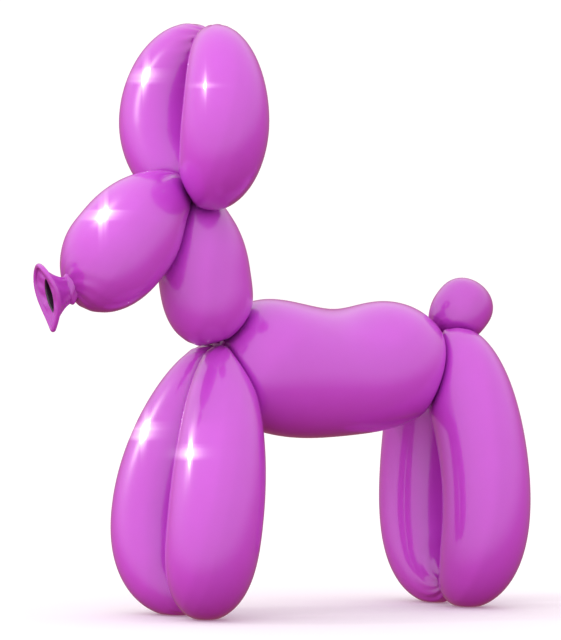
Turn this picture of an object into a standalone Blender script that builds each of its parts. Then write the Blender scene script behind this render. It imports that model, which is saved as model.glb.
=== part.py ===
"""A poodle twisted from one long modelling balloon, standing on its four feet.

Metres, +Z up. The dog faces -X and is the same on both sides of the plane y = 0. One balloon
makes the whole dog: it is tied at the nose and twisted into ten bubbles, so the model is one
solid, and the air sealed inside it is solid too. The feet rest on z = 0, and the origin is on
the floor under the middle of the dog's length.
"""

import math
from dataclasses import dataclass

import bmesh
import bpy
from mathutils import Matrix, Vector

NAME = "twisted_balloon"

# Lengths between the twists, which all lie on the mirror plane
CHEST_HEIGHT = 0.1524
BODY_LENGTH = 0.1438
BODY_DROP = 0.0013
NECK_RISE = 0.086
NECK_LEAN = 0.0109
SNOUT_REACH = 0.0841
SNOUT_DROP = 0.0534
EAR_RISE = 0.082
EAR_LEAN = 0.0042
TAIL_RISE = 0.0293
TAIL_REACH = 0.0269
FRONT_FOOT_LEAN = 0.0107
HIND_FOOT_LEAN = 0.0068

# Radii of the bubbles at their widest
SNOUT_RADIUS = 0.0289
EAR_RADIUS = 0.0244
NECK_RADIUS = 0.0258
BODY_RADIUS = 0.038
FRONT_LEG_RADIUS = 0.0267
HIND_LEG_RADIUS = 0.0249
TAIL_RADIUS = 0.0166

# How far the folded pairs of bubbles bow out to each side
EAR_SPREAD = 0.0461
FRONT_LEG_SPREAD = 0.0406
HIND_LEG_SPREAD = 0.0453
BODY_SAG = 0.0238
NECK_BOW = 0.0062
BODY_WAIST = 0.06

# The wrung latex at a twist, thicker where four bubbles meet than where two do
TWIST_RADIUS = 0.008
FOLD_RADIUS = 0.005

# How far the round foot is pressed flat by the floor
FOOT_PRESS = 0.0006

# The tied mouthpiece at the nose
KNOT_HEIGHT = 0.0165
KNOT_WIDTH = 0.0115
KNOT_LENGTH = 0.007
MOUTHPIECE_LENGTH = 0.017
MOUTHPIECE_PITCH = math.radians(14)
MOUTHPIECE_NECK = 0.0145
LIP_HEIGHT = 0.038
LIP_WIDTH = 0.020
LIP_ROLL = 0.0014
DISH_DEPTH = 0.0016
SLIT_HEIGHT = 0.0165
SLIT_WIDTH = 0.0052
SLIT_DEPTH = 0.007

# Facets of a bubble, around it and along it
AROUND = 24
ALONG = 16
ROUND_SIDES = 16
LIP_SIDES = 28

ORCHID = (0.66, 0.115, 0.74, 1.0)
LATEX_ROUGHNESS = 0.16

EVEN = Vector((1, 1, 1))
MIRROR = Matrix.Diagonal((1.0, -1.0, 1.0, 1.0))


@dataclass(frozen=True)
class Bubble:
    """One inflated bubble between two twists.

    Its centreline is a cubic curve from start to end. The two bows move the curve's handles away
    from the straight line. Widest is where along the bubble it is thickest. Bluntness says how
    full each end is: 2 is an ellipse, and more is blunter. Waist is how much the middle is drawn in.
    """

    name: str
    start: Vector
    end: Vector
    radius: float
    widest: float
    blunt_start: float
    blunt_end: float
    bow_start: Vector
    bow_end: Vector
    waist: float = 0.0

    def centre(self, share):
        """The centreline's point and direction at a share of the way along."""
        third = (self.end - self.start) / 3
        first = self.start + third + self.bow_start
        second = self.end - third + self.bow_end
        rest = 1 - share
        point = (rest**3 * self.start + 3 * share * rest**2 * first
                 + 3 * share**2 * rest * second + share**3 * self.end)
        direction = (rest**2 * (first - self.start) + 2 * share * rest * (second - first)
                     + share**2 * (self.end - second))
        return point, direction.normalized()

    def thickness(self, share):
        """The radius at a share of the way along."""
        skew = math.log(0.5) / math.log(self.widest)
        offset = 2 * share**skew - 1
        bluntness = self.blunt_start if offset < 0 else self.blunt_end
        round_off = math.sqrt(max(0.0, 1 - abs(offset) ** bluntness))
        drawn_in = 1 - self.waist * math.exp(-(((share - 0.5) / 0.18) ** 2))
        return self.radius * round_off * drawn_in

    def surface(self, on_sphere):
        """The point of the bubble that a point of the unit sphere stands for."""
        share = min(1.0, max(0.0, (1 - on_sphere.z) / 2))
        point, direction = self.centre(share)
        side = direction.cross(Vector((0, 1, 0))).normalized()
        up = side.cross(direction)
        around = Vector((on_sphere.x, on_sphere.y))
        if around.length < 1e-6:
            return point
        around.normalize()
        return point + self.thickness(share) * (around.x * side + around.y * up)


def clear_scene():
    for existing in list(bpy.data.objects):
        bpy.data.objects.remove(existing, do_unlink=True)


def new_collection(name):
    collection = bpy.data.collections.new(name)
    bpy.context.scene.collection.children.link(collection)
    return collection


def latex():
    """Glossy orchid latex."""
    material = bpy.data.materials.new("latex")
    material.use_nodes = True
    shader = material.node_tree.nodes["Principled BSDF"]
    shader.inputs["Base Color"].default_value = ORCHID
    shader.inputs["Roughness"].default_value = LATEX_ROUGHNESS
    shader.inputs["Metallic"].default_value = 0.0
    return material


def add_mesh(name, form, collection, material):
    """Put a bmesh in the scene as a smooth-shaded object."""
    mesh = bpy.data.meshes.new(name)
    form.to_mesh(mesh)
    form.free()
    mesh.shade_smooth()
    mesh.materials.append(material)
    made = bpy.data.objects.new(name, mesh)
    collection.objects.link(made)
    return made


def make_bubble(bubble, collection, material, mirrored=False):
    """A sphere whose every point is moved onto the bubble."""
    form = bmesh.new()
    bmesh.ops.create_uvsphere(form, u_segments=AROUND, v_segments=ALONG, radius=1)
    for vertex in form.verts:
        vertex.co = bubble.surface(vertex.co)
    if mirrored:
        bmesh.ops.transform(form, matrix=MIRROR, verts=form.verts)
        bmesh.ops.reverse_faces(form, faces=form.faces)
    name = f"{bubble.name}_near" if mirrored else bubble.name
    return add_mesh(name, form, collection, material)


def make_ball(name, centre, size, collection, material):
    """An ellipsoid with the given half length, width and height, pitched as the mouthpiece is."""
    form = bmesh.new()
    bmesh.ops.create_uvsphere(form, u_segments=ROUND_SIDES, v_segments=ROUND_SIDES // 2, radius=1)
    bmesh.ops.scale(form, vec=size, verts=form.verts)
    ball = add_mesh(name, form, collection, material)
    ball.rotation_euler.y = -MOUTHPIECE_PITCH
    ball.location = centre
    return ball


def lowest_point(bubble):
    """The height of the lowest corner of the bubble's mesh."""
    form = bmesh.new()
    bmesh.ops.create_uvsphere(form, u_segments=AROUND, v_segments=ALONG, radius=1)
    lowest = min(bubble.surface(vertex.co).z for vertex in form.verts)
    form.free()
    return lowest


def standing_leg(make_leg, first_height):
    """The leg whose lowest point is pressed into the floor by the right amount.

    make_leg takes the height of the foot's twist, which is moved until the sole is in place.
    """
    height = first_height
    for _ in range(6):
        height -= lowest_point(make_leg(height)) + FOOT_PRESS
    return make_leg(height)


def twists():
    """The places where the balloon is twisted, and its two ends."""
    chest = Vector((0, 0, CHEST_HEIGHT))
    rear = chest + Vector((BODY_LENGTH, 0, -BODY_DROP))
    head = chest + Vector((-NECK_LEAN, 0, NECK_RISE))
    return {
        "chest": chest,
        "rear": rear,
        "head": head,
        "nose": head + Vector((-SNOUT_REACH, 0, -SNOUT_DROP)),
        "ear_tip": head + Vector((EAR_LEAN, 0, EAR_RISE)),
        "tail_tip": rear + Vector((TAIL_REACH, 0, TAIL_RISE)),
    }


def snout(at):
    """The snout, which ends at the mouthpiece."""
    return Bubble("snout", at["head"], at["nose"], SNOUT_RADIUS, 0.64, 2.55, 2.55,
                  bow_start=Vector((-0.0157, 0, 0.0152)), bow_end=Vector((0.0134, 0, 0.0002)))


def neck(at):
    """The neck, widest just above the chest."""
    forward = Vector((-NECK_BOW, 0, 0))
    return Bubble("neck", at["head"], at["chest"], NECK_RADIUS, 0.59, 2.65, 2.65,
                  forward, forward)


def body(at):
    """The long body, which sags between the legs and is a little narrower halfway."""
    sag = Vector((0, 0, -BODY_SAG))
    return Bubble(NAME, at["chest"], at["rear"], BODY_RADIUS, 0.44, 3.9, 3.8,
                  sag, sag, BODY_WAIST)


def tail(at):
    """The small round tail."""
    straight = Vector((0, 0, 0))
    return Bubble("tail", at["rear"], at["tail_tip"], TAIL_RADIUS, 0.56, 2.5, 2.5,
                  straight, straight)


def ear(at):
    """The ear on the +Y side. The pair is folded at its tips."""
    return Bubble("ear", at["head"], at["ear_tip"], EAR_RADIUS, 0.39, 1.8, 1.8,
                  bow_start=Vector((-0.0123, 1.25 * EAR_SPREAD, -0.0124)),
                  bow_end=Vector((-0.0061, 0.75 * EAR_SPREAD, 0.0294)))


def front_leg(at):
    """The front leg on the +Y side, bowed forward and in at the foot."""
    def with_foot_at(height):
        foot = Vector((-FRONT_FOOT_LEAN, 0, height))
        return Bubble("front_leg", at["chest"], foot, FRONT_LEG_RADIUS, 0.57, 2.2, 2.5,
                      bow_start=Vector((-0.0038, 0.61 * FRONT_LEG_SPREAD, 0.014)),
                      bow_end=Vector((-0.0308, 1.39 * FRONT_LEG_SPREAD, -0.043)))
    return standing_leg(with_foot_at, FRONT_LEG_RADIUS)


def hind_leg(at):
    """The hind leg on the +Y side."""
    def with_foot_at(height):
        foot = Vector((at["rear"].x + HIND_FOOT_LEAN, 0, height))
        return Bubble("hind_leg", at["rear"], foot, HIND_LEG_RADIUS, 0.43, 3.5, 3.4,
                      bow_start=Vector((0.0129, 0.72 * HIND_LEG_SPREAD, 0.0161)),
                      bow_end=Vector((0.0056, 1.28 * HIND_LEG_SPREAD, -0.045)))
    return standing_leg(with_foot_at, HIND_LEG_RADIUS)


def turned_form(name, profile, collection, material):
    """A profile of (radius, height) points turned about +Z, closed where it meets the axis."""
    outline = bpy.data.meshes.new(name)
    points = [(radius, 0, height) for radius, height in profile]
    outline.from_pydata(points, [(i, i + 1) for i in range(len(points) - 1)], [])
    outline.materials.append(material)
    made = bpy.data.objects.new(name, outline)
    collection.objects.link(made)
    turn = made.modifiers.new("turn", "SCREW")
    turn.steps = LIP_SIDES
    turn.render_steps = LIP_SIDES
    turn.use_merge_vertices = True
    turn.merge_threshold = 0.00001
    turn.use_smooth_shade = True
    return made


def along_mouthpiece(nose, distance):
    """The point at a distance from the nose's twist along the mouthpiece's axis."""
    axis = Vector((-math.cos(MOUTHPIECE_PITCH), 0, -math.sin(MOUTHPIECE_PITCH)))
    return nose + distance * axis


def make_mouthpiece(nose, collection, material):
    """The flared, flattened mouthpiece: a turned trumpet with a rolled lip, squashed sideways."""
    neck = MOUTHPIECE_NECK / 2
    rim = LIP_HEIGHT / 2 - LIP_ROLL
    end = MOUTHPIECE_LENGTH - LIP_ROLL
    start = -KNOT_LENGTH / 2
    profile = [(0, end - DISH_DEPTH)]
    profile.append((0.55 * rim, end - 0.85 * DISH_DEPTH))
    profile.append((0.9 * rim, end - 0.2 * DISH_DEPTH))
    for step in range(7):
        turn = math.radians(150 - 45 * step)
        profile.append((rim + LIP_ROLL * math.cos(turn), end + LIP_ROLL * math.sin(turn)))
    flare_start = KNOT_LENGTH / 2
    flare_end = end - LIP_ROLL
    for step in range(5):
        share = 1 - step / 4
        reach = neck + (rim - LIP_ROLL - neck) * share**1.7
        profile.append((reach, flare_start + (flare_end - flare_start) * share))
    profile.append((neck, start))
    profile.append((0, start))
    trumpet = turned_form("mouthpiece", profile, collection, material)
    trumpet.location = nose
    trumpet.rotation_euler.y = -math.pi / 2 - MOUTHPIECE_PITCH
    trumpet.scale.y = LIP_WIDTH / LIP_HEIGHT
    return trumpet


def combine(base, shapes, operation):
    """Join a collection's shapes to the base, or cut them away.

    The bubbles meet at shared points on the mirror plane, where the exact solver leaves open
    edges at some sizes, so the manifold solver joins them.
    """
    for shape in shapes.objects:
        shape.hide_render = True
        shape.display_type = "WIRE"
    step = base.modifiers.new(shapes.name, "BOOLEAN")
    step.operand_type = "COLLECTION"
    step.collection = shapes
    step.operation = operation
    step.solver = "MANIFOLD"


def make_floor_cutter(at, collection, material):
    """A block whose top is the floor, wider and longer than the dog."""
    form = bmesh.new()
    bmesh.ops.create_cube(form, size=1)
    cutter = add_mesh("floor_cutter", form, collection, material)
    depth = 10 * FOOT_PRESS
    length = 2 * (at["rear"].x - at["nose"].x)
    cutter.scale = (length, 6 * BODY_RADIUS, depth)
    cutter.location = (0, 0, -depth / 2)
    return cutter


def make_dog():
    """Every bubble, twist and the mouthpiece, joined into one solid and centred."""
    parts = new_collection("balloon_poodle")
    joined = new_collection("joined_to_body")
    cutters = new_collection("cut_from_body")
    material = latex()
    at = twists()

    for place in ("chest", "rear", "head"):
        make_ball(f"{place}_twist", at[place], TWIST_RADIUS * EVEN, joined, material)
    pairs = [ear(at), front_leg(at), hind_leg(at)]
    for pair in pairs:
        make_ball(f"{pair.name}_fold", pair.end, FOLD_RADIUS * EVEN, joined, material)
        make_bubble(pair, joined, material)
        make_bubble(pair, joined, material, mirrored=True)
    balloon = make_bubble(body(at), parts, material)
    for bubble in (snout(at), neck(at), tail(at)):
        make_bubble(bubble, joined, material)
    knot_size = Vector((KNOT_LENGTH, KNOT_WIDTH, KNOT_HEIGHT)) / 2
    make_ball("knot", at["nose"], knot_size, joined, material)
    make_mouthpiece(at["nose"], joined, material)

    slit_size = Vector((SLIT_DEPTH, SLIT_WIDTH / 2, SLIT_HEIGHT / 2))
    dish = along_mouthpiece(at["nose"], MOUTHPIECE_LENGTH - LIP_ROLL - DISH_DEPTH)
    make_ball("mouth_slit", dish, slit_size, cutters, material)
    make_floor_cutter(at, cutters, material)

    combine(balloon, joined, "UNION")
    combine(balloon, cutters, "DIFFERENCE")
    centre_on_origin(balloon, [*joined.objects, *cutters.objects])


def centre_on_origin(balloon, others):
    """Move the whole dog along X until the origin is under the middle of its length."""
    bpy.context.view_layer.update()
    finished = balloon.evaluated_get(bpy.context.evaluated_depsgraph_get())
    reach = [vertex.co.x for vertex in finished.data.vertices]
    middle = (min(reach) + max(reach)) / 2
    for part in [balloon, *others]:
        part.location.x -= middle


clear_scene()
make_dog()
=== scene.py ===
"""A balloon poodle in glossy orchid latex, on a pale floor.

One long balloon is twisted into ten bubbles. Each bubble is a surface worked out from its own
sizes, pressed flat where it meets its neighbours and puckered where the latex is wrung. The twists
and the tied, flared mouthpiece are pieces of their own. All sizes are in metres.
"""

import logging
import math
from dataclasses import dataclass, replace

import bpy
import numpy as np
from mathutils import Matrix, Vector


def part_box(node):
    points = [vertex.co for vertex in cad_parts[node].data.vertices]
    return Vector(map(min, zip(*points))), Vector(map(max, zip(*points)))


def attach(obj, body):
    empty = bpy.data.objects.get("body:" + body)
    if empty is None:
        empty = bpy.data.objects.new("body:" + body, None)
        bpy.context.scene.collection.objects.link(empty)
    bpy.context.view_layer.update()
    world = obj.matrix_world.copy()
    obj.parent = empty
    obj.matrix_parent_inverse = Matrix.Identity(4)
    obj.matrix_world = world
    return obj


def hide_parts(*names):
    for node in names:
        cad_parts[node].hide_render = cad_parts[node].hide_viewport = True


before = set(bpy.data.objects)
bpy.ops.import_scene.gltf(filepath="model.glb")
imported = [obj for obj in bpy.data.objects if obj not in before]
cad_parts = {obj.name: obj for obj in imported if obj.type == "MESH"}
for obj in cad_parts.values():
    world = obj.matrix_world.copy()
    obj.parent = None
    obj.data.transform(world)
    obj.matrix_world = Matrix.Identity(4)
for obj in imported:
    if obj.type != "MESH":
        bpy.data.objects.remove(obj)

log = logging.getLogger("balloon_poodle")
NODE = "twisted_balloon"
ACROSS = np.array([0.0, 1.0, 0.0])


def unit(vectors: np.ndarray) -> np.ndarray:
    """Vectors scaled to length one along the last axis."""
    return vectors / np.linalg.norm(vectors, axis=-1, keepdims=True)


def soft_least(first: np.ndarray, second: np.ndarray, width: np.ndarray) -> np.ndarray:
    """The smaller of two values, rounded over where they are closer than a width.

    Args:
        first: the first values.
        second: the second values.
        width: how close the two are where the rounding starts.

    Returns:
        The mix of both by their difference, less a quarter width where they are equal.
    """
    mix = np.clip(0.5 + 0.5 * (second - first) / width, 0, 1)
    return second * (1 - mix) + first * mix - width * mix * (1 - mix)


@dataclass(frozen=True)
class Stance:
    """Where the balloon is twisted, all on the mirror plane, measured from under the chest."""

    chest_height: float = 0.1524
    body_length: float = 0.1438
    body_drop: float = 0.0013
    neck_rise: float = 0.086
    neck_lean: float = 0.0109
    snout_reach: float = 0.0841
    snout_drop: float = 0.0534
    ear_rise: float = 0.082
    ear_lean: float = 0.0042
    tail_rise: float = 0.0293
    tail_reach: float = 0.0269
    front_foot_lean: float = 0.0107
    hind_foot_lean: float = 0.0068

    def chest(self) -> np.ndarray:
        """The twist where neck, body and front legs meet."""
        return np.array([0, 0, self.chest_height])

    def rear(self) -> np.ndarray:
        """The twist where body, tail and hind legs meet."""
        return self.chest() + [self.body_length, 0, -self.body_drop]

    def head(self) -> np.ndarray:
        """The twist where snout, ears and neck meet."""
        return self.chest() + [-self.neck_lean, 0, self.neck_rise]

    def nose(self) -> np.ndarray:
        """The end of the snout, where the balloon is tied."""
        return self.head() + [-self.snout_reach, 0, -self.snout_drop]

    def ear_tips(self) -> np.ndarray:
        """The fold between the two ears."""
        return self.head() + [self.ear_lean, 0, self.ear_rise]

    def tail_tip(self) -> np.ndarray:
        """The round end of the balloon."""
        return self.rear() + [self.tail_reach, 0, self.tail_rise]


@dataclass(frozen=True)
class Bubble:
    """One inflated bubble between two twists.

    Its centreline is a cubic curve whose handles are moved off the straight line by the two bows.
    Widest is where along the bubble it is thickest. Bluntness is how full each end is: 2 is an
    ellipse, and more is blunter. Waist is how much it is drawn in at its narrowest place.
    """

    name: str
    start: np.ndarray
    end: np.ndarray
    radius: float
    widest: float
    bluntness: tuple[float, float]
    bow_start: np.ndarray
    bow_end: np.ndarray
    waist: float = 0.0
    pleats: tuple[int, int] = (11, 11)
    pleat_reach: tuple[float, float] = (0.009, 0.009)
    turn: float = 0.0
    narrowest: float = 0.5
    waist_spread: float = 0.18

    def handles(self) -> np.ndarray:
        """The centreline's four control points."""
        third = (self.end - self.start) / 3
        return np.array([self.start, self.start + third + self.bow_start,
                         self.end - third + self.bow_end, self.end])

    def centreline(self, share: np.ndarray) -> tuple[np.ndarray, np.ndarray]:
        """The centreline at shares of the way along, which may run past its ends.

        Args:
            share: shares from 0 at the start to 1 at the end.

        Returns:
            The cubic curve's points and its velocity there, one row for each share.
        """
        p0, p1, p2, p3 = self.handles()
        t = np.asarray(share)[:, None]
        points = (1 - t)**3 * p0 + 3 * t * (1 - t)**2 * p1 + 3 * t**2 * (1 - t) * p2 + t**3 * p3
        velocity = 3 * ((1 - t)**2 * (p1 - p0) + 2 * t * (1 - t) * (p2 - p1) + t**2 * (p3 - p2))
        return points, velocity

    def skew(self) -> float:
        """The power that moves the middle of the profile to where it is widest."""
        return math.log(0.5) / math.log(self.widest)

    def offset(self, share: np.ndarray) -> np.ndarray:
        """Where along the profile each share is: -1 at the start, 0 at the widest, 1 at the end."""
        return 2 * np.clip(share, 0, None)**self.skew() - 1

    def drawn_in(self, share: np.ndarray) -> np.ndarray:
        """How much of its radius is kept: one less a bell curve about the narrowest place."""
        return 1 - self.waist * np.exp(-((share - self.narrowest) / self.waist_spread)**2)

    def thickness(self, share: np.ndarray) -> np.ndarray:
        """The radius along the bubble: the square root of one less the offset to a power."""
        offset = self.offset(share)
        power = np.where(offset < 0, self.bluntness[0], self.bluntness[1])
        round_off = np.sqrt(np.clip(1 - np.abs(offset)**power, 0, 1))
        return self.radius * round_off * self.drawn_in(share)

    def rings(self, share: np.ndarray, angle: np.ndarray, radius: np.ndarray) -> np.ndarray:
        """Circles square to the centreline.

        Args:
            share: where along the centreline each circle is.
            angle: the angles around each circle.
            radius: each point's distance from the centreline, one row for each share.

        Returns:
            The points: the centre plus the radius times cosine along one side vector and sine
            along the other.
        """
        centre, velocity = self.centreline(share)
        heading = unit(velocity)
        side = unit(np.cross(heading, ACROSS))
        up = np.cross(side, heading)
        spoke = (np.cos(angle)[None, :, None] * side[:, None, :]
                 + np.sin(angle)[None, :, None] * up[:, None, :])
        return centre[:, None, :] + radius[:, :, None] * spoke

    def depth(self, points: np.ndarray) -> np.ndarray:
        """How far inside the bubble points are, in metres, and negative outside.

        The foot of each point on the centreline is found by three steps from the nearest of some
        samples. One less the profile's equation there, over the steepness of that equation, is
        the depth.

        Args:
            points: the points, one row each.

        Returns:
            The depth of each point.
        """
        samples = np.linspace(0, 1, 26)
        centres, _ = self.centreline(samples)
        apart = ((points[:, None, :] - centres[None, :, :])**2).sum(2)
        share = samples[apart.argmin(1)]
        for _ in range(3):
            centre, velocity = self.centreline(share)
            speed = (velocity**2).sum(1)
            share = np.clip(share + ((points - centre) * velocity).sum(1) / speed, -0.25, 1.25)
        centre, velocity = self.centreline(share)
        speed = np.linalg.norm(velocity, axis=1)
        reach = np.linalg.norm(points - centre, axis=1)
        inside = np.clip(share, 0.001, None)
        offset = np.where(share < 0.001, -1 + share * 4, 2 * inside**self.skew() - 1)
        power = np.where(offset < 0, self.bluntness[0], self.bluntness[1])
        full = self.radius * self.drawn_in(share)
        level = np.abs(offset)**power + (reach / full)**2
        along = power * np.abs(offset)**(power - 1) * 2 * self.skew() * inside**(self.skew() - 1)
        steepness = np.hypot(2 * reach / full**2, along / speed)
        return (1 - level) / np.maximum(steepness, 0.2 / self.radius)

    def spine(self, share: np.ndarray) -> np.ndarray:
        """The point on the centreline that each ring is pushed towards.

        It stays a radius away from both ends, so that the round ends are pushed towards their
        own middle.
        """
        length = np.linalg.norm(np.diff(self.centreline(np.linspace(0, 1, 40))[0], axis=0), axis=1)
        margin = min(0.42, 0.8 * self.radius / length.sum())
        return self.centreline(np.clip(share, margin, 1 - margin))[0]

    def mirrored(self, name: str, turn: float) -> "Bubble":
        """The same bubble on the other side of the dog."""
        flip = np.array([1.0, -1.0, 1.0])
        return replace(self, name=name, start=self.start * flip, end=self.end * flip,
                       bow_start=self.bow_start * flip, bow_end=self.bow_end * flip, turn=turn)


@dataclass
class Skin:
    """The latex of one bubble as a grid of points, with the values that its finish reads."""

    bubble: Bubble
    along: int = 120
    around: int = 144
    wrung_radius: float = 0.0017
    pleat_depth: float = 0.13
    swirl: float = 60.0
    crease: float = 0.0042
    gap: float = 0.00012
    thick_reach: float = 0.012
    search: tuple[float, float] = (0.1, 1.4)
    halvings: int = 15
    shortest_ray: float = 0.004
    sole_edge: float = 0.0012

    def __post_init__(self) -> None:
        """Work out the free surface of the bubble, before anything presses on it."""
        polar = np.linspace(0, math.pi, self.along)
        self.share = (1 - np.cos(polar)) / 2
        self.angle = np.linspace(0, 2 * math.pi, self.around, endpoint=False)
        radius = np.hypot(self.bubble.thickness(self.share), self.wrung_radius)
        centre = self.bubble.centreline(self.share)[0]
        self.from_start = np.hypot(np.linalg.norm(centre - self.bubble.start, axis=1), radius)
        self.from_end = np.hypot(np.linalg.norm(centre - self.bubble.end, axis=1), radius)
        rippled = radius[:, None] * (1 + self.pleating() + self.unevenness())
        self.points = self.bubble.rings(self.share, self.angle, rippled)

    def pleating(self) -> np.ndarray:
        """Pleats at both ends: a cosine around, swirled and fading with distance from the twist."""
        total = np.zeros((self.along, self.around))
        for away, count, reach, way in zip((self.from_start, self.from_end), self.bubble.pleats,
                                           self.bubble.pleat_reach, (1, -1)):
            if count == 0:
                continue
            swirled = self.angle[None, :] + way * self.swirl * away[:, None] + self.bubble.turn
            wave = np.cos(count * swirled) + 0.5 * np.cos((count - 4) * swirled + 2.1)
            fade = np.exp(-(away / reach)**1.5)
            total += self.pleat_depth * wave * fade[:, None]
        return total

    def unevenness(self) -> np.ndarray:
        """The small hand-blown unevenness: slow waves along and around, under half a percent."""
        share = self.share[:, None]
        angle = self.angle[None, :] + self.bubble.turn
        return (0.0035 * np.sin(math.pi * share) * np.cos(2 * angle + 5 * share)
                + 0.0022 * np.sin(3 * math.pi * share) * np.cos(3 * angle + 1.3))

    def press(self, neighbours: list["Skin"]) -> None:
        """Push the skin back from its neighbours to the surface equally deep in both.

        Each point moves along the line to the bubble's spine. The place on the line where the
        neighbour is as deep as the bubble itself is found by halving, and the skin turns into
        the flat contact over a soft crease.

        Args:
            neighbours: the skins that share a twist with this one.
        """
        shape = self.points.shape
        anchor = np.repeat(self.bubble.spine(self.share), self.around, axis=0)
        ray = self.points.reshape(-1, 3) - anchor
        length = np.linalg.norm(ray, axis=1)
        limit = np.ones(len(ray))
        for other in neighbours:
            close = np.nonzero(other.bubble.depth(anchor + ray) > -self.crease)[0]
            if len(close) == 0:
                continue
            low = np.full(len(close), self.search[0])
            high = np.full(len(close), self.search[1])
            for _ in range(self.halvings):
                middle = (low + high) / 2
                tried = anchor[close] + middle[:, None] * ray[close]
                deeper = other.bubble.depth(tried) + self.gap > self.bubble.depth(tried)
                high = np.where(deeper, middle, high)
                low = np.where(deeper, low, middle)
            width = self.crease / np.maximum(length[close], self.shortest_ray)
            limit[close] = soft_least(limit[close], (low + high) / 2, width)
        self.pressed = (anchor + limit[:, None] * ray).reshape(shape)

    def stand(self) -> None:
        """Flatten what reaches below the floor, with a soft edge around the sole."""
        height = self.pressed[..., 2]
        self.pressed[..., 2] = -soft_least(-height, np.zeros_like(height), self.sole_edge)

    def thick(self) -> np.ndarray:
        """How little the latex is stretched: 1 at the twists, fading towards the middle."""
        near = np.exp(-self.from_start / self.thick_reach) + np.exp(-self.from_end / self.thick_reach)
        return np.repeat(np.clip(near, 0, 1), self.around)


def add_piece(name: str, points: np.ndarray, faces: np.ndarray, thick: np.ndarray,
              finish: bpy.types.Material) -> bpy.types.Object:
    """Put a finished surface in the scene as a smooth piece of the balloon.

    Args:
        name: the piece's name.
        points: its points, one row each.
        faces: its faces, four corners each, the last repeated in a triangle.
        thick: how little the latex is stretched at each point, and past 1 painted shade.
        finish: the latex.

    Returns:
        The new object, which rides on the dog and stands for its solid.
    """
    mesh = bpy.data.meshes.new(name)
    corners = [row[:3] if row[2] == row[3] else row for row in faces.tolist()]
    mesh.from_pydata(points.tolist(), [], corners)
    # the attribute holds how little the latex is stretched, and past 1 the throat's painted shade
    mesh.attributes.new("thick", "FLOAT", "POINT").data.foreach_set("value", thick.astype("f"))
    mesh.polygons.foreach_set("use_smooth", np.ones(len(mesh.polygons), bool))
    mesh.materials.append(finish)
    mesh.validate()
    piece = bpy.data.objects.new(name, mesh)
    bpy.context.scene.collection.objects.link(piece)
    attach(piece, "root")
    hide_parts("twisted_balloon")
    log.info("%s: %d faces", name, len(mesh.polygons))
    return piece


def closed_tube(grid: np.ndarray) -> tuple[np.ndarray, np.ndarray]:
    """The corners and faces of a tube whose two ends close to a point.

    Args:
        grid: rings of points, from the start of the tube to its end.

    Returns:
        The points, with the middle of each end ring added, and the faces between them.
    """
    rings, around = grid.shape[:2]
    points = np.concatenate([grid.reshape(-1, 3), [grid[0].mean(0)], [grid[-1].mean(0)]])
    column = np.arange(around)
    after = (column + 1) % around
    row = np.arange(rings - 1)[:, None] * around
    walls = np.stack([row + column, row + around + column, row + around + after, row + after], -1)
    far = (rings - 1) * around
    foot = np.full(around, rings * around)
    head = foot + 1
    start = np.stack([column, after, foot, foot], -1)
    end = np.stack([far + after, far + column, head, head], -1)
    return points, np.concatenate([walls.reshape(-1, 4), start, end])


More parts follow.
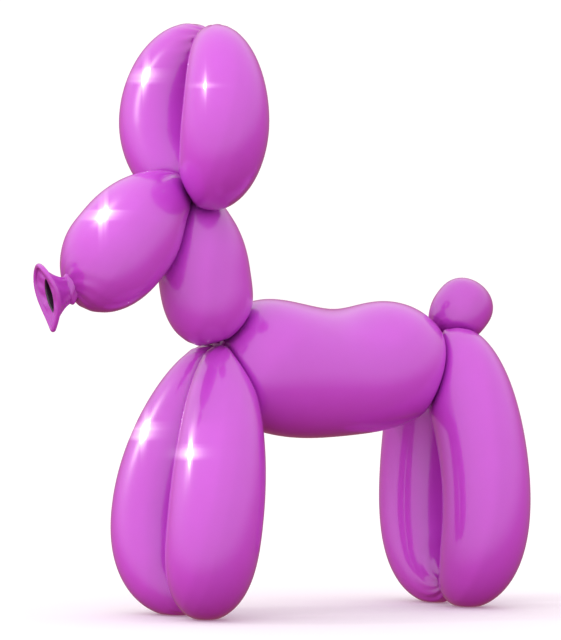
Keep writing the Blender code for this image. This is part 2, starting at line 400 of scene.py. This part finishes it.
@dataclass
class Dog:
    """The ten bubbles, with their radii and how far the folded pairs bow out."""

    stance: Stance
    snout_radius: float = 0.0289
    ear_radius: float = 0.0244
    neck_radius: float = 0.0258
    body_radius: float = 0.038
    front_leg_radius: float = 0.0267
    hind_leg_radius: float = 0.0249
    tail_radius: float = 0.0166
    ear_spread: float = 0.0461
    front_leg_spread: float = 0.0406
    hind_leg_spread: float = 0.0453
    body_sag: float = 0.0238
    body_waist: float = 0.06
    neck_bow: float = 0.0062
    foot_press: float = 0.0006
    twist_radius: float = 0.004
    fold_radius: float = 0.0032

    def snout(self) -> Bubble:
        """The snout, which ends at the mouthpiece."""
        return Bubble("snout", self.stance.head(), self.stance.nose(), self.snout_radius, 0.64,
                      (2.55, 2.55), np.array([-0.0157, 0, 0.0152]), np.array([0.0134, 0, 0.0002]),
                      pleats=(11, 9), pleat_reach=(0.009, 0.0095), turn=0.4)

    def neck(self) -> Bubble:
        """The neck, widest just above the chest."""
        bow = np.array([-self.neck_bow, 0, 0])
        return Bubble("neck", self.stance.head(), self.stance.chest(), self.neck_radius, 0.59,
                      (2.65, 2.65), bow, bow, turn=1.1)

    def body(self) -> Bubble:
        """The long body, which sags between the legs and has a shallow waist."""
        sag = np.array([0, 0, -self.body_sag])
        return Bubble("body", self.stance.chest(), self.stance.rear(), self.body_radius, 0.44,
                      (3.9, 4.6), sag, sag, self.body_waist, pleats=(13, 13), turn=2.0,
                      narrowest=0.56)

    def tail(self) -> Bubble:
        """The small round tail."""
        return Bubble("tail", self.stance.rear(), self.stance.tail_tip(), self.tail_radius, 0.56,
                      (2.5, 2.5), np.zeros(3), np.zeros(3), pleats=(9, 0), turn=0.7)

    def ear(self) -> Bubble:
        """The right ear. The pair is folded at its tips."""
        return Bubble("right_ear", self.stance.head(), self.stance.ear_tips(), self.ear_radius,
                      0.39, (1.8, 1.8), np.array([-0.0123, 1.25 * self.ear_spread, -0.0124]),
                      np.array([-0.0061, 0.75 * self.ear_spread, 0.0294]), turn=0.2)

    def standing(self, leg: Bubble) -> Bubble:
        """The leg with its foot moved up or down until its lowest point is pressed flat."""
        angle = np.linspace(0, 2 * math.pi, 96)
        share = np.linspace(0.4, 1, 120)
        foot = leg.end.copy()
        for _ in range(8):
            moved = replace(leg, end=foot)
            radius = np.repeat(moved.thickness(share)[:, None], len(angle), axis=1)
            lowest = moved.rings(share, angle, radius)[..., 2].min()
            foot = foot - [0, 0, lowest + self.foot_press]
        return moved

    def front_leg(self) -> Bubble:
        """The right front leg, bowed forward."""
        foot = np.array([-self.stance.front_foot_lean, 0, self.front_leg_radius])
        return self.standing(Bubble(
            "right_front_leg", self.stance.chest(), foot, self.front_leg_radius, 0.57, (2.2, 2.5),
            np.array([-0.0038, 0.61 * self.front_leg_spread, 0.014]),
            np.array([-0.0308, 1.39 * self.front_leg_spread, -0.043]), turn=1.7))

    def hind_leg(self) -> Bubble:
        """The right hind leg."""
        foot = np.array([self.stance.rear()[0] + self.stance.hind_foot_lean, 0,
                         self.hind_leg_radius])
        return self.standing(Bubble(
            "right_hind_leg", self.stance.rear(), foot, self.hind_leg_radius, 0.43, (3.5, 3.4),
            np.array([0.0129, 0.72 * self.hind_leg_spread, 0.0161]),
            np.array([0.0056, 1.28 * self.hind_leg_spread, -0.045]), turn=2.6))

    def skins(self) -> dict[str, Skin]:
        """Every bubble's skin, pressed against its neighbours and standing on the floor."""
        ear, front, hind = self.ear(), self.front_leg(), self.hind_leg()
        bubbles = [self.snout(), self.neck(), self.body(), self.tail(), ear, front, hind,
                   ear.mirrored("left_ear", 0.9), front.mirrored("left_front_leg", 0.5),
                   hind.mirrored("left_hind_leg", 1.4)]
        skins = {bubble.name: Skin(bubble) for bubble in bubbles}
        head = ("snout", "neck", "right_ear", "left_ear")
        chest = ("neck", "body", "right_front_leg", "left_front_leg")
        rear = ("body", "tail", "right_hind_leg", "left_hind_leg")
        for name, skin in skins.items():
            meeting = {other for group in (head, chest, rear) if name in group for other in group}
            skin.press([skins[other] for other in sorted(meeting - {name})])
            if "leg" in name:
                skin.stand()
        return skins

    def twists(self) -> dict[str, "Twist"]:
        """The wrung latex, by name: three twists between bubbles and three folds."""
        return {"chest_twist": Twist(self.stance.chest(), self.twist_radius),
                "rear_twist": Twist(self.stance.rear(), self.twist_radius),
                "head_twist": Twist(self.stance.head(), self.twist_radius),
                "ear_fold": Twist(self.stance.ear_tips(), self.fold_radius),
                "front_foot_fold": Twist(self.front_leg().end, self.fold_radius),
                "hind_foot_fold": Twist(self.hind_leg().end, self.fold_radius)}


@dataclass(frozen=True)
class Twist:
    """A lump of wrung latex, with ridges that wind around it."""

    centre: np.ndarray
    radius: float
    ridges: int = 5
    ridge_height: float = 0.09
    wind: float = 4.0
    sides: int = 72
    rings: int = 40

    def surface(self) -> np.ndarray:
        """A sphere whose radius is raised by a cosine that winds around with the polar angle."""
        polar = np.linspace(0.02, math.pi - 0.02, self.rings)[:, None]
        angle = np.linspace(0, 2 * math.pi, self.sides, endpoint=False)[None, :]
        ridge = np.cos(self.ridges * angle + self.wind * polar) * np.sin(polar)**2
        radius = self.radius * (1 + self.ridge_height * ridge)
        across = radius * np.sin(polar)
        return self.centre + np.stack([-radius * np.cos(polar) + 0 * angle,
                                       across * np.cos(angle), -across * np.sin(angle)], -1)


@dataclass(frozen=True)
class Mouthpiece:
    """The tied end of the balloon at the nose: the knot, and the flared lip beyond it.

    Distances run along its axis from the nose's twist, then up and across, all at right angles.
    """

    nose: np.ndarray
    pitch: float = math.radians(14)
    knot_height: float = 0.0165
    knot_width: float = 0.0115
    knot_length: float = 0.007
    length: float = 0.0162
    neck_height: float = 0.0145
    neck_width: float = 0.0085
    lip_height: float = 0.038
    lip_width: float = 0.0215
    lip_roll: float = 0.0014
    lip_wave: float = 0.0009
    point_drop: float = 0.0012
    top_fullness: float = 0.4
    dish_depth: float = 0.0016
    slit_height: float = 0.0195
    slit_width: float = 0.0072
    throat: float = 0.009
    flare: float = 1.7
    gathers: float = 0.055
    pucker: float = 0.0004
    sides: int = 144
    flare_rings: int = 26
    roll_rings: int = 18
    dish_rings: int = 24
    throat_rings: int = 12
    loose: float = 0.3
    # value past 1 that gives the throat its painted shade
    painted_shade_level: float = 2.0

    def place(self, along: np.ndarray, up: np.ndarray, across: np.ndarray) -> np.ndarray:
        """Points at distances along the mouthpiece's axis, up and across."""
        axis = np.array([-math.cos(self.pitch), 0, -math.sin(self.pitch)])
        rise = np.array([-math.sin(self.pitch), 0, math.cos(self.pitch)])
        return (self.nose + along[..., None] * axis + up[..., None] * rise
                + across[..., None] * ACROSS)

    def angles(self) -> np.ndarray:
        """The angles around the mouthpiece, from the top."""
        return np.linspace(0, 2 * math.pi, self.sides, endpoint=False)

    def rim(self) -> np.ndarray:
        """The middle of the rolled lip, up and across: a leaf, full on top and pointed below."""
        angle = self.angles()
        up = (self.lip_height / 2 - self.lip_roll) * np.cos(angle)
        up -= self.point_drop * np.clip(-np.cos(angle), 0, 1)**3
        half = self.lip_width / 2 - self.lip_roll
        fullness = 1 + self.top_fullness * (np.cos(angle) - 0.25 * np.cos(2 * angle))
        return np.stack([up, half * np.sin(angle) * fullness], -1)

    def ellipse(self, height: float, width: float) -> np.ndarray:
        """An upright oval as up and across."""
        angle = self.angles()
        return np.stack([height / 2 * np.cos(angle), width / 2 * np.sin(angle)], -1)

    def lip(self) -> np.ndarray:
        """The flare, the rolled lip, the dished mouth and its throat, as one skin.

        Each ring mixes two outlines: the neck's and the rim's along the flare, and the rim's and
        the slit's across the dish. The lip's roll is an arc around the rim. Sums of two cosines
        around give the rim its waves and the neck its gathers.

        Returns:
            The rings of points, from the neck to the end of the throat.
        """
        angle = self.angles()
        rim = self.rim()
        outward = unit(np.roll(rim, -1, 0) - np.roll(rim, 1, 0))[:, ::-1] * [-1, 1]
        outward *= np.sign((outward * rim).sum(1, keepdims=True))
        neck = self.ellipse(self.neck_height, self.neck_width)
        slit = self.ellipse(self.slit_height, self.slit_width)
        slit[:, 1] *= np.abs(np.sin(angle))**0.6
        end = self.length - self.lip_roll
        wave = self.lip_wave * (np.cos(2 * angle + 0.5) + 0.6 * np.cos(3 * angle + 1.9))
        folds = np.cos(9 * angle + 0.7) + 0.6 * np.cos(5 * angle + 2.0)
        rings = []
        back = rim - self.lip_roll * 0.6 * outward
        start = self.knot_length / 4
        for share in np.linspace(0, 1, self.flare_rings):
            outline = neck + (back - neck) * share**self.flare
            outline = outline * (1 + self.gathers * folds * (1 - share)**1.2)[:, None]
            along = start + (end - 0.8 * self.lip_roll - start) * share
            rings.append((outline, along + wave * share**2))
        for turn in np.radians(np.linspace(-53, 170, self.roll_rings)):
            outline = rim + self.lip_roll * math.cos(turn) * outward
            rings.append((outline, end + self.lip_roll * math.sin(turn) + wave))
        inner = rim - self.lip_roll * outward
        mouth = end + 0.17 * self.lip_roll
        for share in np.linspace(0, 1, self.dish_rings)[1:]:
            outline = inner + (slit - inner) * share
            puckered = self.pucker * folds * math.sin(math.pi * share)
            along = mouth - self.dish_depth * share**0.8
            rings.append((outline, along + puckered + wave * (1 - share)))
        for share in np.linspace(0, 1, self.throat_rings)[1:]:
            outline = slit * [1 - 0.35 * share, 1 - 0.75 * share]
            along = mouth - self.dish_depth - self.throat * share
            rings.append((outline, along + 0 * angle))
        return np.stack([self.place(along, outline[:, 0], outline[:, 1])
                         for outline, along in rings])

    def lip_thick_and_painted_shade(self, rings: int) -> np.ndarray:
        """How little the lip is stretched from its first ring on; past 1 in the throat, as painted
        shade.

        Args:
            rings: how many rings of points the lip has.

        Returns:
            The value at each point, with the points that close both ends last.
        """
        thick = np.full((rings, self.sides), self.loose)
        # the throat's rings get the value that stands for painted shade
        thick[-self.throat_rings:] = self.painted_shade_level
        return np.concatenate([thick.ravel(), [self.loose, self.painted_shade_level]])

    def knot(self) -> np.ndarray:
        """The tied knot: an oval roll with strands that run around it at a slant."""
        polar = np.linspace(0.02, math.pi - 0.02, 44)[:, None]
        angle = self.angles()[None, :]
        strands = (np.cos(2 * angle + 3.2 * np.cos(polar) + 0.6)
                   + 0.45 * np.cos(5 * angle - 4.0 * np.cos(polar)))
        swell = (1 + 0.075 * strands * np.sin(polar)) * np.sin(polar)**0.8
        along = -self.knot_length / 2 * np.cos(polar) * 1.15 + 0 * angle
        return self.place(along, self.knot_height / 2 * swell * np.cos(angle),
                          self.knot_width / 2 * swell * np.sin(angle))


@dataclass(frozen=True)
class Latex:
    """Glossy stretched latex, deeper in colour where it is thick and little stretched.

    The attribute "thick" runs from 0 where it is stretched to 1 where it isn't, and to 2 in the
    mouthpiece's throat, where the colour is a painted shade, nearly black.
    """

    colour: tuple[float, float, float] = (0.64, 0.068, 0.72)
    deep_colour: tuple[float, float, float] = (0.36, 0.016, 0.31)
    # painted shade: the nearly black colour given to the mouthpiece's deep throat
    painted_throat_shade: tuple[float, float, float] = (0.03, 0.002, 0.03)
    roughness: float = 0.3
    coat: float = 1.0
    coat_roughness: float = 0.035
    glow: float = 0.12
    glow_depth: float = 0.004
    mottle_scale: float = 90.0
    mottle: float = 0.10
    grain_scale: float = 700.0
    grain: float = 0.04
    grain_height: float = 0.0002

    def material(self) -> bpy.types.Material:
        """The finish that every piece of the balloon has."""
        material = bpy.data.materials.new("orchid_latex")
        material.use_nodes = True
        tree = material.node_tree
        shader = tree.nodes["Principled BSDF"]
        thick = tree.nodes.new("ShaderNodeAttribute")
        thick.attribute_name = "thick"
        mottle = self.pattern(tree, self.mottle_scale, 3)
        depth = tree.nodes.new("ShaderNodeMath")
        depth.operation = "MULTIPLY_ADD"
        depth.inputs[1].default_value = self.mottle
        tree.links.new(mottle, depth.inputs[0])
        tree.links.new(thick.outputs["Fac"], depth.inputs[2])
        ramp = tree.nodes.new("ShaderNodeValToRGB")
        ramp.color_ramp.elements[0].position = 0.0
        ramp.color_ramp.elements[0].color = (*self.colour, 1)
        # the top of the ramp is the throat's painted shade; below it lies the latex's own colour
        ramp.color_ramp.elements[1].position = 1.0
        ramp.color_ramp.elements[1].color = (*self.painted_throat_shade, 1)
        ramp.color_ramp.elements.new(0.5).color = (*self.deep_colour, 1)
        half = tree.nodes.new("ShaderNodeMath")
        half.operation = "MULTIPLY"
        half.inputs[1].default_value = 0.5
        tree.links.new(depth.outputs[0], half.inputs[0])
        tree.links.new(half.outputs[0], ramp.inputs["Fac"])
        tree.links.new(ramp.outputs["Color"], shader.inputs["Base Color"])
        bump = tree.nodes.new("ShaderNodeBump")
        bump.inputs["Strength"].default_value = self.grain
        bump.inputs["Distance"].default_value = self.grain_height
        tree.links.new(self.pattern(tree, self.grain_scale, 2), bump.inputs["Height"])
        tree.links.new(bump.outputs["Normal"], shader.inputs["Normal"])
        shader.inputs["Roughness"].default_value = self.roughness
        shader.inputs["IOR"].default_value = 1.5
        shader.inputs["Coat Weight"].default_value = self.coat
        shader.inputs["Coat Roughness"].default_value = self.coat_roughness
        shader.inputs["Subsurface Weight"].default_value = self.glow
        shader.inputs["Subsurface Radius"].default_value = (1.0, 0.25, 0.6)
        shader.inputs["Subsurface Scale"].default_value = self.glow_depth
        return material

    @staticmethod
    def pattern(tree: bpy.types.NodeTree, scale: float, detail: float) -> bpy.types.NodeSocket:
        """Fine cloudy variation fixed to the balloon."""
        place = tree.nodes.new("ShaderNodeTexCoord")
        noise = tree.nodes.new("ShaderNodeTexNoise")
        noise.inputs["Scale"].default_value = scale
        noise.inputs["Detail"].default_value = detail
        tree.links.new(place.outputs["Object"], noise.inputs["Vector"])
        return noise.outputs["Fac"]


@dataclass
class Studio:
    """The pale floor, the soft light from all round, the small lamps and the camera."""

    aim_x: float = 0.0398
    aim_height: float = 0.1645
    distance: float = 5.0
    azimuth: float = 30.4
    elevation: float = 2.95
    picture_height: float = 640.0
    pixel: float = 0.00056
    sensor: float = 36.0
    key_side: tuple[float, float, float] = (-0.80, 0.28, 0.50)
    key_power: float = 3.0
    key_size: float = 0.09
    lamp_distance: float = 1.4
    lamp_colour: tuple[float, float, float] = (1, 0.98, 0.97)
    glint_power: float = 6.5
    glint_size: float = 0.1
    glints: tuple[tuple[str, tuple[float, float, float]], ...] = (
        ("right_ear", (-0.937, 0.244, 0.249)), ("left_ear", (-0.849, 0.106, 0.517)),
        ("snout", (-0.443, 0.219, 0.869)), ("right_front_leg", (-0.751, 0.575, 0.324)),
        ("left_front_leg", (-0.781, 0.473, 0.408)))
    glint_threshold: float = 1.45
    bloom: float = 1.0
    bloom_size: float = 0.7
    star: float = 0.7
    star_fade: float = 0.9
    bright_side: tuple[float, float, float] = (-0.34, -0.38, 0.86)
    above: tuple[float, float, float] = (1.05, 1.02, 1.04)
    level: tuple[float, float, float] = (0.88, 0.82, 0.86)
    under: tuple[float, float, float] = (0.42, 0.20, 0.25)
    below: tuple[float, float, float] = (0.18, 0.03, 0.04)
    strength: float = 1.2
    paper: tuple[float, float, float] = (0.88, 0.87, 0.88)
    paper_glow: float = 0.12
    floor_radius: float = 45.0

    def back(self) -> Vector:
        """The direction from the dog to the camera."""
        turn, rise = math.radians(-self.azimuth), math.radians(self.elevation)
        return Vector((math.sin(turn) * math.cos(rise), -math.cos(turn) * math.cos(rise),
                       math.sin(rise)))

    def add_camera(self, shift: float) -> None:
        """A long lens that sees one drawn pixel as 0.56 mm at the dog.

        Args:
            shift: how far the dog stands along X from where its chest would be at x = 0.
        """
        camera = bpy.data.cameras.new("camera")
        camera.sensor_width = self.sensor
        camera.lens = self.distance / self.pixel * self.sensor / self.picture_height
        camera.clip_end = 100
        holder = bpy.data.objects.new("camera", camera)
        aim = Vector((self.aim_x + shift, 0, self.aim_height))
        holder.location = aim + self.distance * self.back()
        holder.rotation_euler = self.back().to_track_quat("Z", "Y").to_euler()
        bpy.context.scene.collection.objects.link(holder)
        bpy.context.scene.camera = holder

    def add_light(self, name: str, target: Vector, toward: tuple[float, float, float], size: float,
                  power: float) -> bpy.types.Object:
        """A small round lamp that faces the dog.

        Args:
            name: the lamp's name.
            target: the point that it faces.
            toward: the direction from that point to the lamp.
            size: its diameter.
            power: its power in watts.

        Returns:
            The lamp.
        """
        light = bpy.data.lights.new(name, "AREA")
        light.shape = "DISK"
        light.size = size
        light.energy = power
        light.color = self.lamp_colour
        lamp = bpy.data.objects.new(name, light)
        away = Vector(toward).normalized()
        lamp.location = target + self.lamp_distance * away
        lamp.rotation_euler = away.to_track_quat("Z", "Y").to_euler()
        bpy.context.scene.collection.objects.link(lamp)
        return lamp

    def add_glints(self, pieces: dict[str, bpy.types.Object]) -> None:
        """A lamp for the bright spot on each bubble that has one, which that bubble alone shows.

        Args:
            pieces: the balloon's pieces by name.
        """
        for name, side in self.glints:
            corners = np.array(pieces[name].bound_box)
            lamp = self.add_light(f"glint_{name}", Vector(corners.mean(0)), side,
                                  self.glint_size, self.glint_power)
            lamp.visible_diffuse = False
            only = bpy.data.collections.new(f"glint_{name}")
            only.objects.link(pieces[name])
            lamp.light_linking.receiver_collection = only

    def add_floor(self) -> None:
        """A round floor of pale paper, wide enough to fill every view, with its middle on z = 0."""
        angle = np.linspace(0, 2 * math.pi, 96, endpoint=False)
        rim = self.floor_radius * np.stack([np.cos(angle), np.sin(angle), 0 * angle], -1)
        mesh = bpy.data.meshes.new("floor")
        mesh.from_pydata(rim.tolist(), [], [list(range(len(rim)))])
        paper = bpy.data.materials.new("pale_paper")
        paper.use_nodes = True
        shader = paper.node_tree.nodes["Principled BSDF"]
        shader.inputs["Base Color"].default_value = (*self.paper, 1)
        shader.inputs["Roughness"].default_value = 0.8
        shader.inputs["Emission Color"].default_value = (1, 1, 1, 1)
        shader.inputs["Emission Strength"].default_value = self.paper_glow
        mesh.materials.append(paper)
        floor = bpy.data.objects.new("floor", mesh)
        bpy.context.scene.collection.objects.link(floor)
        floor.visible_diffuse = False
        floor.visible_glossy = False

    def add_lights(self) -> None:
        """A small key ahead of the dog, which doesn't glint, and soft light from all round."""
        middle = Vector((0, 0, self.aim_height))
        key = self.add_light("key", middle, self.key_side, self.key_size, self.key_power)
        key.visible_glossy = False
        world = bpy.data.worlds.new("studio")
        world.use_nodes = True
        background = world.node_tree.nodes["Background"]
        background.inputs["Strength"].default_value = self.strength
        world.node_tree.links.new(self.sky(world.node_tree), background.inputs["Color"])
        bpy.context.scene.world = world

    def sky(self, tree: bpy.types.NodeTree) -> bpy.types.NodeSocket:
        """Soft light from every side: bright from the horizon up, rosy and dim from below.

        Args:
            tree: the world's nodes.

        Returns:
            The colour by direction, from one side of the sky to the bright side.
        """
        sky = tree.nodes.new("ShaderNodeValToRGB")
        sky.color_ramp.elements[0].color = (*self.below, 1)
        sky.color_ramp.elements[1].color = (*self.above, 1)
        sky.color_ramp.elements.new(0.36).color = (*self.under, 1)
        sky.color_ramp.elements.new(0.54).color = (*self.level, 1)
        place = tree.nodes.new("ShaderNodeTexCoord")
        facing = tree.nodes.new("ShaderNodeVectorMath")
        facing.operation = "DOT_PRODUCT"
        facing.inputs[1].default_value = Vector(self.bright_side).normalized()
        rise = tree.nodes.new("ShaderNodeMapRange")
        rise.inputs["From Min"].default_value = -1
        tree.links.new(place.outputs["Generated"], facing.inputs[0])
        tree.links.new(facing.outputs["Value"], rise.inputs["Value"])
        tree.links.new(rise.outputs["Result"], sky.inputs["Fac"])
        return sky.outputs["Color"]

    def add_star_filter(self) -> None:
        """A star filter and a little bloom in front of the lens, which only bright glints set off."""
        scene = bpy.context.scene
        scene.use_nodes = True
        tree = scene.node_tree
        tree.nodes.clear()
        picture = tree.nodes.new("CompositorNodeRLayers").outputs["Image"]
        filters = {"BLOOM": {"Strength": self.bloom, "Size": self.bloom_size},
                   "SIMPLE_STAR": {"Strength": self.star, "Fade": self.star_fade,
                                   "Diagonal": False}}
        for kind, settings in filters.items():
            glare = tree.nodes.new("CompositorNodeGlare")
            glare.glare_type = kind
            glare.inputs["Threshold"].default_value = self.glint_threshold
            for socket in glare.inputs:
                if socket.name in settings:
                    socket.default_value = settings[socket.name]
            tree.links.new(picture, glare.inputs["Image"])
            picture = glare.outputs["Image"]
        tree.links.new(picture, tree.nodes.new("CompositorNodeComposite").inputs["Image"])


def main() -> None:
    """Build the balloon's pieces and the studio in order."""
    logging.basicConfig(level=logging.INFO, format="%(name)s %(message)s")
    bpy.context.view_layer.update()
    latex = Latex().material()
    stance = Stance()
    dog = Dog(stance)
    skins = dog.skins()
    hindmost = float(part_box(NODE)[1].x)
    every = np.concatenate([skin.pressed.reshape(-1, 3) for skin in skins.values()])
    shift = np.array([hindmost - every[:, 0].max(), 0, 0])
    pieces = {}
    for name, skin in skins.items():
        points, faces = closed_tube(skin.pressed + shift)
        thick = np.concatenate([skin.thick(), [1, 1]])
        pieces[name] = add_piece(name, points, faces, thick, latex)
    for name, twist in dog.twists().items():
        points, faces = closed_tube(twist.surface() + shift)
        add_piece(name, points, faces, np.ones(len(points)), latex)
    mouthpiece = Mouthpiece(stance.nose() + shift)
    points, faces = closed_tube(mouthpiece.knot())
    add_piece("knot", points, faces, np.full(len(points), mouthpiece.loose), latex)
    lip = mouthpiece.lip()
    points, faces = closed_tube(lip)
    # the lip's throat gets a painted shade, nearly black
    add_piece("mouthpiece", points, faces, mouthpiece.lip_thick_and_painted_shade(len(lip)), latex)
    studio = Studio()
    studio.add_floor()
    studio.add_lights()
    studio.add_glints(pieces)
    studio.add_camera(float(shift[0]))
    studio.add_star_filter()
    bpy.context.scene.view_settings.view_transform = "Standard"


if __name__ == "__main__":
    main()
